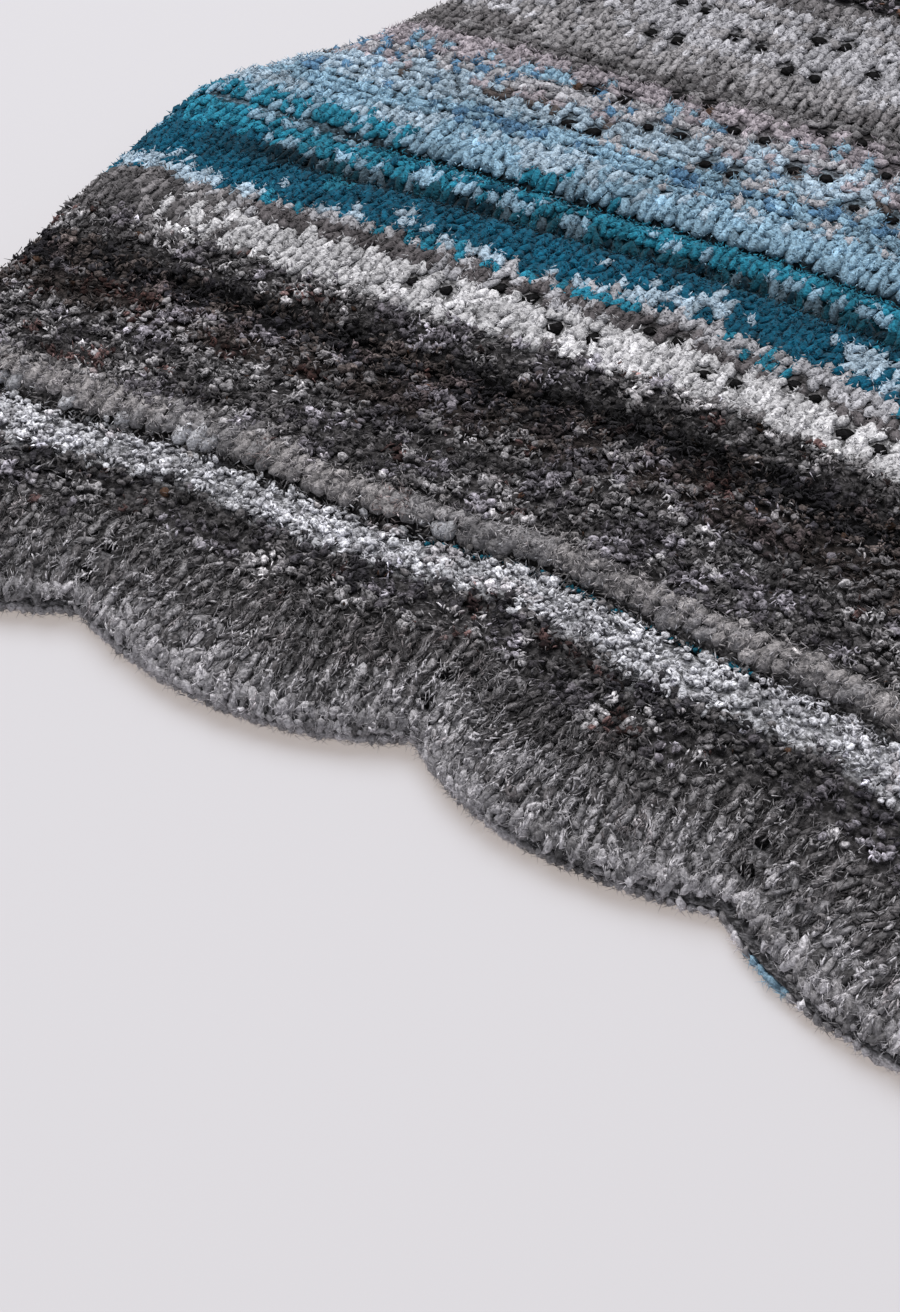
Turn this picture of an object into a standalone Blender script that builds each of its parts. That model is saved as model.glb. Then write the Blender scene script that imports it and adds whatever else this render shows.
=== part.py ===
"""A knitted sweater vest laid flat on a table: front panel, back panel and a two-part neckband.

Metres, +Z up, the table at z = 0. +Y runs from the scalloped hem to the neck, the front panel is on top.
Every point is first placed on the flat cut, u across from the centre line and v up from the hem's cusps.
The lay function then swings the two halves as the vest lies on the table.
"""

import math
from collections import namedtuple

import bmesh
import bpy

MM = 0.001

# Driving sizes of the cut
SCALLOP = 92 * MM
SCALLOPS = 5
SCALLOP_DROP = 11.5 * MM
SCALLOP_ROUNDNESS = 0.85
HALF_HEM = SCALLOPS * SCALLOP / 2
NECK_POINT = 455 * MM
SHOULDER_FALL = 23 * MM
NECK_HALF_WIDTH = 83 * MM
NECK_ROUNDNESS = 2.2
FRONT_NECK_DEPTH = 110 * MM
BACK_NECK_DEPTH = 26 * MM
BAND_WIDTH = 14 * MM

# Heights above the table
SEAM_GAP = 0.3 * MM
BACK_THICKNESS = 4.5 * MM
INSIDE = BACK_THICKNESS + SEAM_GAP
FRONT_EDGE = 6.2 * MM
BAND_THICKNESS = 5.2 * MM
EDGE_RADIUS = 13 * MM
BACK_UNDERCUT = 2.5 * MM

# The lay: both halves droop from a bend a little left of the centre line
BEND_ANGLE = math.radians(5.9)
BEND_AT = -36 * MM
BEND_RADIUS = 32 * MM
FANNING = 0.62
FANNING_FROM = 184 * MM

# Fan ribs at the hem
RIBS = 14
RIB_HEIGHT = 0.9 * MM
RIB_REACH = 27 * MM
RIB_FADE = 1.6
RIB_GATHER = 0.42

# The unevenness of a hand-laid knit
LUMP_HEIGHT = 0.35 * MM
LUMP_ACROSS = 31 * MM
LUMP_UP = 27 * MM
LUMP_LEAN = 90 * MM
LUMP_TURN = 0.7

# How much of the scallop's wave is left in a course at each height
Wave = namedtuple("Wave", "height share")
WAVES = [Wave(0, 1.0), Wave(15, 0.86), Wave(30, 0.5), Wave(55, 0.2), Wave(110, 0.1), Wave(460, 0.05)]

# The side and armhole: how far the edge lies inside half the hem's width
Side = namedtuple("Side", "height inset")
SIDES = [
    Side(0, 0),
    Side(40, 4.5),
    Side(90, 7.5),
    Side(140, 5.5),
    Side(184, 5),
    Side(196, 9.5),
    Side(208, 17),
    Side(215, 25),
    Side(225, 31.5),
    Side(239, 37),
    Side(267, 46),
    Side(300, 52),
    Side(345, 55),
    Side(400, 54),
    Side(460, 50),
]

# Courses of the front panel: where each lies, the top of the cloth and its inside, both above the table.
# The fold names the crease or roll that the row belongs to, and "" is a row of even height.
Course = namedtuple("Course", "height top inside fold")
FAN_COURSES = [
    Course(0, 6.2, 4.8, ""),
    Course(2.5, 8.4, 4.8, ""),
    Course(8, 10.0, 4.8, ""),
    Course(15, 10.6, 4.8, ""),
    Course(21, 10.9, 4.8, ""),
]
FRONT_COURSES = [
    Course(28, 10.9, 4.8, ""),
    Course(38, 11.2, 4.8, ""),
    Course(45, 11.4, 4.8, "tuck"),
    Course(49.6, 10.7, 4.8, "tuck"),
    Course(52, 8.7, 4.8, "tuck"),
    Course(53.3, 13.0, 4.8, "tuck"),
    Course(56.3, 15.3, 5.4, "tuck"),
    Course(60.5, 15.2, 6.6, "tuck"),
    Course(67, 14.4, 7.4, "tuck"),
    Course(80, 14.6, 7.6, "tuck"),
    Course(93, 14.6, 7.0, "groove"),
    Course(99.5, 13.2, 6.0, "groove"),
    Course(103.5, 11.6, 5.0, "groove"),
    Course(107.5, 13.4, 6.0, "groove"),
    Course(114, 14.9, 7.2, "groove"),
    Course(125, 15.2, 7.8, ""),
    Course(138, 15.0, 7.8, ""),
    Course(150, 14.8, 7.0, "first"),
    Course(160, 13.6, 5.2, "first"),
    Course(164, 9.6, 4.8, "first"),
    Course(166.6, 13.0, 4.8, "first"),
    Course(171.8, 14.6, 5.6, "first"),
    Course(177, 13.0, 4.8, "second"),
    Course(179.8, 9.4, 4.8, "second"),
    Course(182.4, 13.4, 4.8, "second"),
    Course(187.5, 15.0, 6.0, "second"),
    Course(195, 14.2, 6.0, "second"),
    Course(209, 13.2, 5.6, ""),
    Course(228, 12.9, 5.4, ""),
    Course(240, 12.5, 4.8, "upper"),
    Course(245.5, 10.4, 4.8, "upper"),
    Course(250.5, 12.6, 4.8, "upper"),
    Course(264, 12.9, 5.2, ""),
    Course(280, 12.7, 5.2, ""),
    Course(291, 12.4, 4.8, "ridge"),
    Course(297.5, 13.3, 4.8, "ridge"),
    Course(304, 11.9, 4.8, "ridge"),
    Course(325, 11.8, 4.8, ""),
    Course(345, 11.5, 4.8, ""),
    Course(360, 11.3, 4.8, ""),
]
CORNER_TOP = 11.2
SHOULDER_ROWS = [0.12, 0.3, 0.5, 0.72, 0.9, 1.0]
SHOULDER_TOP = [11.2, 11.4, 11.0, 11.2, 10.2, 6.4]

# Folds fade into the even height past their ends, and wander a little along their way
Fold = namedtuple("Fold", "name left right fade wander waves turn")
FOLDS = [
    Fold("tuck", -222, 190, 30, 1.6, 1.3, 0.4),
    Fold("groove", -205, 150, 50, 2.4, 1.7, 1.1),
    Fold("first", -198, 215, 40, 1.5, 1.2, 2.0),
    Fold("second", -182, 170, 40, 1.8, 1.4, 0.2),
    Fold("upper", -150, 140, 45, 2.0, 1.6, 1.6),
    Fold("ridge", -120, 165, 45, 2.2, 1.5, 2.7),
]
EVEN = 12.4
FOLD_SPAN = 460 * MM

# The back panel slips out from under the front hem by this much at its worst
BACK_SLIP = 3.0 * MM
BACK_SLIP_AT = 62 * MM
BACK_SLIP_WIDTH = 24 * MM
BACK_ROWS = [28, 60, 100, 140, 184, 196, 208, 215, 225, 239, 267, 300, 345, 385, 415, 430]
BACK_FAN_ROWS = [0, 3, 12]
BACK_SHOULDER_ROWS = [0.5, 1.0]

# Courses bend down to the neckline from this far below it, and the back's tilt to the shoulder line from this height
NECK_EASE = 60 * MM
TILT_FROM = 345 * MM

# The neckband's section, as shares of its width and thickness
BandPoint = namedtuple("BandPoint", "offset height")
BAND_SECTION = [
    BandPoint(0, 0),
    BandPoint(0.5, 0),
    BandPoint(0.9, 0),
    BandPoint(1, 0.3),
    BandPoint(1, 0.6),
    BandPoint(0.82, 0.93),
    BandPoint(0.5, 1),
    BandPoint(0.16, 0.93),
    BandPoint(0, 0.6),
]

# Columns, as shares of the half width; the neck's corner stands on one of them
MIDDLE_COLUMNS = 12
COLUMN_STEP = 1 / 15
EDGE_COLUMNS = [0.87, 0.925, 0.968, 1.0]
NECK_COLUMN = 5
FRONT_FINE = 28
BACK_FINE = 12

Row = namedtuple("Row", "v columns height blend shift tilt")
Finish = namedtuple("Finish", "colour roughness")
FINISHES = {
    "front_panel": Finish((0.16, 0.15, 0.15), 0.95),
    "back_panel": Finish((0.12, 0.115, 0.12), 0.95),
    "neckband_front": Finish((0.3, 0.29, 0.29), 0.95),
    "neckband_back": Finish((0.3, 0.29, 0.29), 0.95),
}


def read_table(rows, at, field):
    """The value of a table at a height, straight between its rows. Heights are in mm, as in the table."""
    if at <= rows[0].height:
        return getattr(rows[0], field)
    for low, high in zip(rows, rows[1:]):
        if at <= high.height:
            share = (at - low.height) / (high.height - low.height)
            return getattr(low, field) + share * (getattr(high, field) - getattr(low, field))
    return getattr(rows[-1], field)


def half_width(v):
    return HALF_HEM - read_table(SIDES, v / MM, "inset") * MM


def scallop(u):
    """0 at a cusp and 1 at the lowest point of a scallop."""
    return abs(math.sin(math.pi * (u + HALF_HEM) / SCALLOP)) ** SCALLOP_ROUNDNESS


def drop(u, v):
    return SCALLOP_DROP * scallop(u) * read_table(WAVES, v / MM, "share")


def lay(u, v):
    """Where a point of the cut lies on the table."""
    aside = u - BEND_AT
    reach = math.hypot(aside, BEND_RADIUS)
    fall = math.tan(BEND_ANGLE)
    x = u + FANNING * fall * aside / reach * (v - FANNING_FROM)
    return x, v - fall * (reach - BEND_RADIUS)


def smooth(share):
    share = min(1.0, max(0.0, share))
    return share * share * (3 - 2 * share)


def fold_of(name):
    return next((fold for fold in FOLDS if fold.name == name), None)


def fold_strength(fold, u):
    from_left = smooth((u / MM - fold.left) / fold.fade)
    from_right = smooth((fold.right - u / MM) / fold.fade)
    return from_left * from_right


def wander(fold, u):
    return fold.wander * MM * math.sin(2 * math.pi * fold.waves * u / FOLD_SPAN + fold.turn)


def crown(height, low, inset):
    """Rounds a height down to the cloth's edge, by the distance from that edge."""
    if inset >= EDGE_RADIUS:
        return height
    share = max(0.0, inset) / EDGE_RADIUS
    return low + (height - low) * math.sqrt(share * (2 - share))


def lumps(u, v):
    return LUMP_HEIGHT * math.sin(u / LUMP_ACROSS + LUMP_TURN) * math.sin(v / LUMP_UP + u / LUMP_LEAN)


def gather(u):
    """How far a rib leans over to the middle of its fan, at the top of the fan."""
    return SCALLOP * RIB_GATHER / (2 * math.pi) * math.sin(2 * math.pi * (u + HALF_HEM) / SCALLOP)


def rib(u, v):
    fade = smooth((RIB_REACH - v) / RIB_REACH * RIB_FADE)
    return RIB_HEIGHT * fade * math.cos(2 * math.pi * RIBS * (u + HALF_HEM) / SCALLOP)


def neck_rise(u, depth):
    """The neckline's height at u."""
    share = min(1.0, abs(u) / NECK_HALF_WIDTH) ** NECK_ROUNDNESS
    return NECK_POINT - depth * math.sqrt(1 - share)


def neck_half_width(v, depth):
    below = min(1.0, max(0.0, (NECK_POINT - v) / depth))
    return NECK_HALF_WIDTH * (1 - below**2) ** (1 / NECK_ROUNDNESS)


def coarse_columns():
    middle = [i * COLUMN_STEP for i in range(-MIDDLE_COLUMNS, MIDDLE_COLUMNS + 1)]
    return [-s for s in reversed(EDGE_COLUMNS)] + middle + EDGE_COLUMNS


def fine_columns(per_scallop):
    count = per_scallop * SCALLOPS
    return [2 * i / count - 1 for i in range(count + 1)]


class Sheet:
    """Points and triangles of one side of a panel, with the panel's four kinds of edge kept as index lists."""

    def __init__(self, points, faces):
        self.points = points
        self.faces = faces
        self.hem = []
        self.left = []
        self.right = []
        self.top = []
        self.neck = []

    def add(self, x, y, z):
        self.points.append((x, y, z))
        return len(self.points) - 1

    def row(self, places, height_of, gathered=0.0):
        """One course of points; places are (u, v) on the cut."""
        made = []
        for u, v in places:
            x, y = lay(u + gathered * gather(u), v)
            made.append((self.add(x, y, height_of(u, v)), u, v))
        return made

    def strip(self, low, high, key=1):
        """Triangles between two rows, which may have different counts, matched along u (1) or v (2)."""
        i = 0
        j = 0
        while i < len(low) - 1 or j < len(high) - 1:
            step_low = j == len(high) - 1
            if not step_low and i < len(low) - 1:
                step_low = abs(low[i + 1][key] - high[j][key]) <= abs(high[j + 1][key] - low[i][key])
            if step_low:
                self.faces.append((low[i][0], low[i + 1][0], high[j][0]))
                i += 1
            else:
                self.faces.append((low[i][0], high[j + 1][0], high[j][0]))
                j += 1


def past_corner(s):
    """0 at the neck's corner column and 1 at the armhole."""
    corner = NECK_COLUMN * COLUMN_STEP
    return max(0.0, (abs(s) - corner) / (1 - corner))


def body_places(row, neck_depth, inset):
    """The (u, v) of one full course below the neck, bent to the neckline by its blend."""
    corner = NECK_COLUMN * COLUMN_STEP
    places = []
    for s in row.columns:
        tilted = row.v - row.tilt * past_corner(s)
        width = half_width(tilted) - inset
        u = s * width
        v = tilted - drop(u, row.v)
        if row.blend > 0 and abs(s) <= corner + COLUMN_STEP / 2:
            neck_corner = neck_rise(corner * width, neck_depth)
            v -= row.blend * (max(0.0, neck_corner - neck_rise(u, neck_depth)) + inset)
        places.append((u, v + row.shift(u)))
    return places


def shoulder_places(share, sides, corner, neck_depth, inset):
    """The (u, v) of one course of a shoulder, from the neckline to the armhole; sides is -1 or 1."""
    columns = [s for s in coarse_columns() if s >= NECK_COLUMN * COLUMN_STEP - 1e-9]
    places = []
    for s in columns:
        across = past_corner(s)
        start = corner.v - corner.tilt * across
        fall = NECK_POINT - SHOULDER_FALL * across - inset
        v = start + (fall - start) * share
        inner = neck_half_width(v, neck_depth) + inset * (share > 0)
        outer = half_width(v) - inset
        places.append((sides * (inner + (outer - inner) * across), v))
    return places


def build_side(sheet, rows, shoulders, neck_depth, inset):
    """Joins courses into one side of a panel; shoulders are (share, height function)."""
    corner_index = [round(s / COLUMN_STEP) for s in coarse_columns()].index(NECK_COLUMN)
    before = None
    for row in rows:
        places = body_places(row, neck_depth, inset)
        gathered = row.v / RIB_REACH if row.v < RIB_REACH else 0.0
        made = sheet.row(places, lambda u, v, row=row: row.height(u, row.v), gathered)
        if before:
            sheet.strip(before, made)
        else:
            sheet.hem = made
        sheet.left.append(made[0])
        sheet.right.append(made[-1])
        before = made
    left_corner = len(before) - 1 - corner_index
    neck = before[left_corner : corner_index + 1]
    right_row = before[corner_index:]
    left_row = before[: left_corner + 1][::-1]
    inner = {}
    tops = {}
    for sides, row_before in ((-1, left_row), (1, right_row)):
        inner[sides] = []
        for share, height_of in shoulders:
            places = shoulder_places(share, sides, rows[-1], neck_depth, inset)
            made = sheet.row(places, height_of)
            sheet.strip(row_before, made)
            (sheet.left if sides < 0 else sheet.right).append(made[-1])
            inner[sides].append(made[0])
            row_before = made
        tops[sides] = row_before
    sheet.neck = list(reversed(inner[-1])) + neck + inner[1]
    sheet.top = list(reversed(tops[-1]))[:-1] + sheet.neck + tops[1][1:]


def close_sides(upper, lower):
    """Walls between the two sides of a panel, all the way round."""
    upper.strip(upper.hem, lower.hem)
    upper.strip(upper.left, lower.left, key=2)
    upper.strip(upper.right, lower.right, key=2)
    for i in range(len(upper.top) - 1):
        a, b = upper.top[i][0], upper.top[i + 1][0]
        c, d = lower.top[i][0], lower.top[i + 1][0]
        upper.faces.append((a, b, d))
        upper.faces.append((a, d, c))


def no_shift(u):
    return 0.0


def edge_distance(u, v, neck_depth):
    """How far a point of the cut is from the side, armhole or neck edge beside it."""
    distance = half_width(v) - abs(u)
    if v > NECK_POINT - neck_depth:
        beside = abs(u) - neck_half_width(v, neck_depth)
        distance = min(distance, max(0.0, beside))
    return distance


def neck_blend(v, neck_depth, corner_v):
    start = NECK_POINT - neck_depth - NECK_EASE
    return smooth((v - start) / (corner_v - start))


def shoulder_tilt(v, corner_v):
    return SHOULDER_FALL * smooth((v - TILT_FROM) / (corner_v - TILT_FROM))


def front_rows(corner_v):
    """Courses of the front panel's top and inside."""
    fine = fine_columns(FRONT_FINE)
    coarse = coarse_columns()
    top = []
    inside = [Row(0.0, coarse, flat_height(INSIDE), 0.0, no_shift, 0.0)]
    for course in FAN_COURSES:

        def fan_height(u, v, course=course):
            return crown(course.top * MM, FRONT_EDGE, half_width(v) - abs(u)) + rib(u, v)

        top.append(Row(course.height * MM, fine, fan_height, 0.0, no_shift, 0.0))
    for course in FRONT_COURSES + [Course(corner_v / MM, CORNER_TOP, INSIDE / MM, "")]:
        fold = fold_of(course.fold)

        def height(u, v, course=course, fold=fold):
            strength = fold_strength(fold, u) if fold else 1.0
            raised = EVEN + (course.top - EVEN) * strength
            from_edge = edge_distance(u, v, FRONT_NECK_DEPTH)
            return crown(raised * MM, FRONT_EDGE, from_edge) + lumps(u, v) * smooth(from_edge / EDGE_RADIUS)

        def inner_height(u, v, course=course, fold=fold):
            strength = fold_strength(fold, u) if fold else 1.0
            lift = (course.inside * MM - INSIDE) * strength
            return INSIDE + lift * smooth(edge_distance(u, v, FRONT_NECK_DEPTH) / EDGE_RADIUS - 1)

        def shift(u, fold=fold):
            return wander(fold, u) if fold else 0.0

        v = course.height * MM
        blend = neck_blend(v, FRONT_NECK_DEPTH, corner_v)
        top.append(Row(v, coarse, height, blend, shift, 0.0))
        inside.append(Row(v, coarse, inner_height, blend, shift, 0.0))
    return top, inside


def flat_height(level):
    return lambda u, v: level


def link(obj):
    bpy.context.scene.collection.objects.link(obj)
    return obj


def finish_object(name, points, faces):
    mesh = bpy.data.meshes.new(name)
    mesh.from_pydata(points, [], faces)
    shape = bmesh.new()
    shape.from_mesh(mesh)
    bmesh.ops.recalc_face_normals(shape, faces=shape.faces)
    shape.to_mesh(mesh)
    shape.free()
    mesh.shade_smooth()
    mesh.set_sharp_from_angle(angle=math.radians(60))
    look = FINISHES[name]
    material = bpy.data.materials.new(name)
    material.use_nodes = True
    shader = material.node_tree.nodes["Principled BSDF"]
    shader.inputs["Base Color"].default_value = (*look.colour, 1)
    shader.inputs["Roughness"].default_value = look.roughness
    shader.inputs["Metallic"].default_value = 0
    mesh.materials.append(material)
    return link(bpy.data.objects.new(name, mesh))


def neck_corner(neck_depth):
    """The course at which a panel parts into its two shoulders."""
    v = NECK_POINT - neck_depth
    for _ in range(20):
        v = neck_rise(NECK_COLUMN * COLUMN_STEP * half_width(v), neck_depth)
    return v


def make_front():
    points, faces = [], []
    upper, lower = Sheet(points, faces), Sheet(points, faces)
    top, inside = front_rows(neck_corner(FRONT_NECK_DEPTH))
    shoulders = []
    for share, level in zip(SHOULDER_ROWS, SHOULDER_TOP):

        def height(u, v, level=level):
            return crown(level * MM, FRONT_EDGE, edge_distance(u, v, FRONT_NECK_DEPTH))

        shoulders.append((share, height))
    build_side(upper, top, shoulders, FRONT_NECK_DEPTH, 0.0)
    flat_shoulders = [(share, flat_height(INSIDE)) for share in SHOULDER_ROWS]
    build_side(lower, inside, flat_shoulders, FRONT_NECK_DEPTH, 0.0)
    close_sides(upper, lower)
    return finish_object("front_panel", points, faces), [place[1:] for place in upper.neck]


def slip(u):
    """How far the back's hem slides down past the front's."""
    return -BACK_SLIP * math.exp(-(((u - BACK_SLIP_AT) / BACK_SLIP_WIDTH) ** 2))


def make_back():
    points, faces = [], []
    upper, lower = Sheet(points, faces), Sheet(points, faces)
    corner_v = neck_corner(BACK_NECK_DEPTH)
    fine = fine_columns(BACK_FINE)
    coarse = coarse_columns()
    for side, level, inset in ((upper, BACK_THICKNESS, 0.0), (lower, 0.0, BACK_UNDERCUT)):
        height = flat_height(level)
        rows = []
        for v in BACK_FAN_ROWS:
            edge = inset if v == 0 else 0.0
            rows.append(Row(v * MM, fine, height, 0.0, lambda u, edge=edge: slip(u) + edge, 0.0))
        for v in [course * MM for course in BACK_ROWS] + [corner_v]:
            blend = neck_blend(v, BACK_NECK_DEPTH, corner_v)
            rows.append(Row(v, coarse, height, blend, no_shift, shoulder_tilt(v, corner_v)))
        shoulders = [(share, height) for share in BACK_SHOULDER_ROWS]
        build_side(side, rows, shoulders, BACK_NECK_DEPTH, inset)
    close_sides(upper, lower)
    return finish_object("back_panel", points, faces), [place[1:] for place in upper.neck]


def turned(start, end):
    """The unit normal of a stretch of the neckline, into the opening."""
    along = (end[0] - start[0], end[1] - start[1])
    length = math.hypot(*along)
    return -along[1] / length, along[0] / length


def neckline(places):
    """A panel's own neck points with their offsets into the opening, which keep an even width round corners."""
    curve = []
    for i, (u, v) in enumerate(places):
        first = turned(places[max(0, i - 1)], places[max(1, i)])
        second = turned(places[min(i, len(places) - 2)], places[min(i + 1, len(places) - 1)])
        across = first[0] + second[0]
        up = first[1] + second[1]
        scale = 2 / (across * across + up * up)
        curve.append((u, v, across * scale, up * scale))
    return curve


def make_band(name, places, low, high):
    """A band with a rounded section, made from a panel's neck points moved into the opening."""
    points, faces = [], []
    count = len(BAND_SECTION)
    for u, v, across, up in neckline(places):
        for point in BAND_SECTION:
            offset = max(SEAM_GAP, BAND_WIDTH * point.offset)
            x, y = lay(u + across * offset, v + up * offset)
            points.append((x, y, low + (high - low) * point.height))
    stations = len(places)
    for i in range(stations - 1):
        for j in range(count):
            a = i * count + j
            b = i * count + (j + 1) % count
            faces.append((a, b, b + count, a + count))
    faces.append(tuple(range(count)))
    faces.append(tuple((stations - 1) * count + j for j in range(count)))
    return finish_object(name, points, faces)


def centre_on_footprint(objects):
    """Moves the vest so that the middle of its footprint is the origin."""
    corners = [obj.data.vertices for obj in objects]
    xs = [v.co.x for vertices in corners for v in vertices]
    ys = [v.co.y for vertices in corners for v in vertices]
    shift = ((max(xs) + min(xs)) / 2, (max(ys) + min(ys)) / 2)
    for obj in objects:
        for vertex in obj.data.vertices:
            vertex.co.x -= shift[0]
            vertex.co.y -= shift[1]
        obj.data.update()
    return shift


def main():
    for obj in list(bpy.data.objects):
        bpy.data.objects.remove(obj)
    front, front_neck = make_front()
    back, back_neck = make_back()
    front_band = make_band("neckband_front", front_neck, INSIDE, INSIDE + BAND_THICKNESS)
    back_band = make_band("neckband_back", back_neck, 0.0, BACK_THICKNESS)
    vest = [front, back, front_band, back_band]
    shift = centre_on_footprint(vest)
    print("footprint centre on the cut:", [round(s * 1000, 3) for s in shift])
    for obj in vest:
        print(obj.name, sum(len(p.vertices) - 2 for p in obj.data.polygons), "triangles")


main()
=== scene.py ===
"""Looks of the laid-out sweater vest: chenille stitches, bouclé yarn, fan ribs, lace holes and fluff.

Places are worked out on the flat cut, with u across from the centre line and v up from the hem's cusps,
both in metres. lay() puts them on the table, and the cloth below gives their height.
"""

import math
from collections import namedtuple
from itertools import combinations

import bpy
import numpy as np
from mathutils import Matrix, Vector
from mathutils.bvhtree import BVHTree


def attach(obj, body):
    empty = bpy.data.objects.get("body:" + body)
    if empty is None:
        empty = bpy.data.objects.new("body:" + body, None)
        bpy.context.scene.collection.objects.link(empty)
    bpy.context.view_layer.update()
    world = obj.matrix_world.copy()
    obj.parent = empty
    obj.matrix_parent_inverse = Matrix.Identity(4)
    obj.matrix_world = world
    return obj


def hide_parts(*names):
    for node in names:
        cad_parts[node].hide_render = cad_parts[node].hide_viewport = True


MM = 0.001
TINY = 1e-12
rng = np.random.default_rng(20517)

# The cut and its lay, as in the CAD
SCALLOP = 92 * MM
SCALLOPS = 5
SCALLOP_DROP = 11.5 * MM
SCALLOP_ROUNDNESS = 0.85
HALF_HEM = SCALLOPS * SCALLOP / 2
NECK_POINT = 455 * MM
NECK_HALF_WIDTH = 83 * MM
NECK_ROUNDNESS = 2.2
FRONT_NECK_DEPTH = 110 * MM
BACK_NECK_DEPTH = 26 * MM
BEND_FALL = math.tan(math.radians(5.9))
BEND_AT = -36 * MM
BEND_RADIUS = 32 * MM
FANNING = 0.62
FANNING_FROM = 184 * MM
FOOTPRINT_MIDDLE = 214.242 * MM
SHOULDER_TIP = 432 * MM

# In mm: how far the side lies inside the hem's half width at each height, and how much of the scallops'
# wave the courses keep there
SIDE_HEIGHTS = [0, 40, 90, 140, 184, 196, 208, 215, 225, 239, 267, 300, 345, 400, 460]
SIDE_INSETS = [0, 4.5, 7.5, 5.5, 5, 9.5, 17, 25, 31.5, 37, 46, 52, 55, 54, 50]
WAVE_HEIGHTS = [0, 15, 30, 55, 110, 460]
WAVE_SHARES = [1.0, 0.86, 0.5, 0.2, 0.1, 0.05]

# Creases across the front: where each lies, the heights over which the courses wander with it, its ends and
# its wander, as in the CAD, then how wide and how dark the shade painted into its bottom is; mm on the cut
Fold = namedtuple("Fold", "bottom heights left right fade wander waves turn width dark")
FOLDS = [
    Fold(52, (38, 45, 80, 93), -222, 190, 30, 1.6, 1.3, 0.4, 1.5, 0.85),
    Fold(103.5, (80, 93, 114, 125), -205, 150, 50, 2.4, 1.7, 1.1, 4.5, 0.6),
    Fold(164, (138, 150, 171.8, 177), -198, 215, 40, 1.5, 1.2, 2.0, 3.5, 0.92),
    Fold(179.8, (171.8, 177, 195, 209), -182, 170, 40, 1.8, 1.4, 0.2, 2.8, 0.85),
    Fold(245.5, (228, 240, 250.5, 264), -150, 140, 45, 2.0, 1.6, 1.6, 3.5, 0.4),
    Fold(297.5, (280, 291, 304, 325), -120, 165, 45, 2.2, 1.5, 2.7, 3, 0),
]
FOLD_SPAN = 460 * MM

# How far left of its end a crease's painted shade starts, and how near the bottom of one with darker painted
# shade no stitch lies; mm
SHADE_LEAD = 25
BARE_CREASE = 0.9
BARE_DARKNESS = 0.5

# The knit: each scallop's strands gather to its middle up to one reach and are straight again by the second
WALES = 18
WALE = SCALLOP / WALES
COURSE = 3.6 * MM
FAN_STRANDS = 28
FAN_RIBS = 14
RIB_REACH = 27 * MM
RIB_GATHER = 0.42

# The camera as measured from the photo, with the focal length in the photo's pixels
PHOTO_HEIGHT = 1312
FOCAL_PIXELS = 2481
SENSOR = 36.0
CAMERA_PLACE = (155.0 * MM, -511.9 * MM, 388.2 * MM)
CAMERA_AZIMUTH = math.radians(32.4)
CAMERA_ELEVATION = math.radians(45.3)

# Stripes from the hem up: where each starts in mm on the cut, the form of its yarn, its two colours,
# and how much of it shows the second
Stripe = namedtuple("Stripe", "start form main fleck share")
STRIPES = [
    Stripe(-20, "fan", "pewter", "fog", 0.3),
    Stripe(5, "fan", "pewter", "ash", 0.4),
    Stripe(14, "fan", "ash", "fog", 0.38),
    Stripe(24, "curl", "ash", "fog", 0.45),
    Stripe(31, "curl", "ash", "coal", 0.4),
    Stripe(38.3, "fleece", "ice", "mist", 0.2),
    Stripe(51.8, "roll", "felt", "fog", 0.35),
    Stripe(58.5, "curl", "ash", "fog", 0.45),
    Stripe(82, "curl", "umber", "ash", 0.6),
    Stripe(94, "curl", "coal", "umber", 0.4),
    Stripe(107.5, "curl", "ash", "fog", 0.35),
    Stripe(118, "cord", "chalk", "chalk", 0),
    Stripe(134.2, "cord", "taupe", "mist", 0.12),
    Stripe(138.2, "cord", "mist", "sea", 0.38),
    Stripe(143.6, "cord", "teal", "frost", 0.42),
    Stripe(153, "cord", "teal", "frost", 0.38),
    Stripe(157, "cord", "teal", "sea", 0.1),
    Stripe(166, "cord", "sea", "sky", 0.45),
    Stripe(172.5, "cord", "sea", "teal", 0.3),
    Stripe(179.5, "cord", "sky", "sea", 0.2),
    Stripe(188, "cord", "sky", "frost", 0.5),
    Stripe(195.5, "pebble", "sky", "mist", 0.4),
    Stripe(200, "pebble", "sky", "denim", 0.15),
    Stripe(204, "pebble", "mist", "sky", 0.35),
    Stripe(208, "pebble", "frost", "denim", 0.15),
    Stripe(213, "pebble", "frost", "umber", 0.06),
    Stripe(216, "pebble", "frost", "rose", 0.4),
    Stripe(222, "pebble", "mist", "denim", 0.2),
    Stripe(227, "pebble", "rose", "sky", 0.35),
    Stripe(234, "pebble", "rose", "ash", 0.2),
    Stripe(241.5, "pebble", "ash", "fog", 0.45),
    Stripe(249.5, "cord", "fog", "ash", 0.45),
    Stripe(254, "cord", "mist", "fog", 0.75),
    Stripe(265, "cord", "mist", "fog", 0.3),
    Stripe(288, "cord", "fog", "mist", 0.45),
    Stripe(294, "cord", "fog", "ash", 0.3),
    Stripe(300.5, "curl", "coal", "ash", 0.6),
    Stripe(325, "curl", "ash", "umber", 0.5),
    Stripe(346, "fleece", "ice", "fog", 0.2),
    Stripe(360, "cord", "fog", "mist", 0.4),
    Stripe(372, "cord", "teal", "sky", 0.3),
    Stripe(384, "cord", "sky", "mist", 0.3),
    Stripe(398, "pebble", "rose", "sky", 0.4),
    Stripe(414, "pebble", "fog", "umber", 0.3),
    Stripe(428, "curl", "ash", "umber", 0.4),
]
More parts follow.
